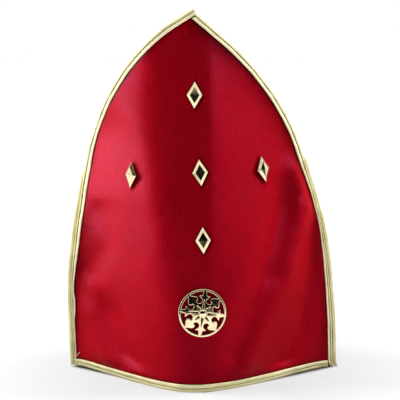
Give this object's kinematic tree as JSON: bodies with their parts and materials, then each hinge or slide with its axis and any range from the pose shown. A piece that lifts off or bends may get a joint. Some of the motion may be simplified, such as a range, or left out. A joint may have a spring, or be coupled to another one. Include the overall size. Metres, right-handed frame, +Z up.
{
  "type": "cardinal mitre hat",
  "caption": "Pointed two-panel red satin mitre hat with gold folded edge tape, a cross of rhombic gold studs and a pierced round gold medallion, open below for the head",
  "frame": {"origin": "bottom centre of the bounding box, on the surface that the hem stands on", "axes": "+Z up towards the peaks, -Y towards the front panel with the studs, +X to the viewer's right seen from the front"},
  "size_m": [0.2557, 0.1672, 0.3368],
  "materials": {
    "red_satin": "stiffened satin cloth with a soft sheen",
    "gold_tape": "folded metallic gold tape with a stitched middle line",
    "polished_gold": "polished gold-plated metal"
  },
  "bodies": {
    "root": {"front_panel": "red_satin", "back_panel": "red_satin", "front_edge_left": "gold_tape", "front_edge_right": "gold_tape", "front_hem_tape": "gold_tape", "back_edge_left": "gold_tape", "back_edge_right": "gold_tape", "back_hem_tape": "gold_tape", "stud_top": "polished_gold", "stud_left": "polished_gold", "stud_centre": "polished_gold", "stud_right": "polished_gold", "stud_bottom": "polished_gold", "medallion": "polished_gold"}
  },
  "joints": []
}
